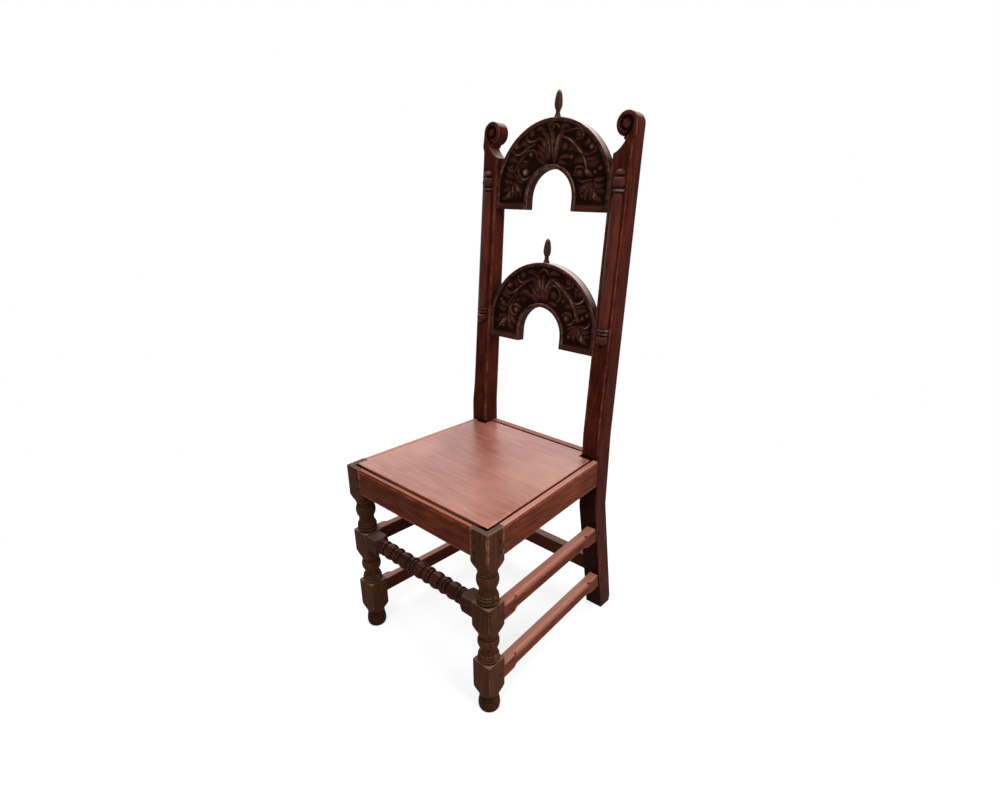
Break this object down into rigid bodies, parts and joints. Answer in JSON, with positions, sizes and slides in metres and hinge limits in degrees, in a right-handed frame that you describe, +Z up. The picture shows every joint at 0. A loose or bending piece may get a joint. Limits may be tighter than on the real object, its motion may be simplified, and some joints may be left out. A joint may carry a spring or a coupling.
{
  "type": "carved wooden chair",
  "caption": "High-backed wooden side chair: turned front legs and stretcher, panelled board seat, raked posts ending in scrolls, arched back rails carved with leaves, and bud finials.",
  "frame": {"origin": "on the floor, under the middle of the chair's outline as seen from above", "axes": "+Z up, the chair faces -Y, +X is to the viewer's right when the chair is looked at from the front"},
  "size_m": [0.4412, 0.495, 1.2195],
  "materials": {
    "seat": "satin wax polish, worn pale at the front",
    "rail": "waxed reddish brown wood, edges worn lighter",
    "leg": "dark brown waxed wood",
    "post": "dark red-brown varnish, satin",
    "carved": "nearly black in the sunk ground, worn brown on the raised leaves",
    "peg": "dark end grain"
  },
  "bodies": {
    "root": {"front_leg_left": "leg", "front_leg_right": "leg", "front_seat_rail": "rail", "front_stretcher": "leg", "lower_arched_rail": "carved", "lower_finial": "post", "lower_side_stretcher_left": "rail", "lower_side_stretcher_right": "rail", "peg_front_rail_lower_left": "peg", "peg_front_rail_lower_right": "peg", "peg_front_rail_upper_left": "peg", "peg_front_rail_upper_right": "peg", "peg_front_stretcher_left": "peg", "peg_front_stretcher_right": "peg", "peg_lower_arch_left": "peg", "peg_lower_arch_right": "peg", "peg_lower_stretcher_back_left": "peg", "peg_lower_stretcher_back_right": "peg", "peg_lower_stretcher_front_left": "peg", "peg_lower_stretcher_front_right": "peg", "peg_rear_rail_lower_left": "peg", "peg_rear_rail_lower_right": "peg", "peg_rear_rail_upper_left": "peg", "peg_rear_rail_upper_right": "peg", "peg_side_rail_back_lower_left": "peg", "peg_side_rail_back_lower_right": "peg", "peg_side_rail_back_upper_left": "peg", "peg_side_rail_back_upper_right": "peg", "peg_side_rail_front_lower_left": "peg", "peg_side_rail_front_lower_right": "peg", "peg_side_rail_front_upper_left": "peg", "peg_side_rail_front_upper_right": "peg", "peg_upper_arch_left": "peg", "peg_upper_arch_right": "peg", "peg_upper_stretcher_back_left": "peg", "peg_upper_stretcher_back_right": "peg", "peg_upper_stretcher_front_left": "peg", "peg_upper_stretcher_front_right": "peg", "rear_post_left": "post", "rear_post_right": "post", "rear_seat_rail": "rail", "rear_stretcher": "leg", "seat_board": "seat", "side_seat_rail_left": "rail", "side_seat_rail_right": "rail", "split_turning_left": "post", "split_turning_right": "post", "upper_arched_rail": "carved", "upper_finial": "post", "upper_side_stretcher_left": "rail", "upper_side_stretcher_right": "rail"}
  },
  "joints": []
}
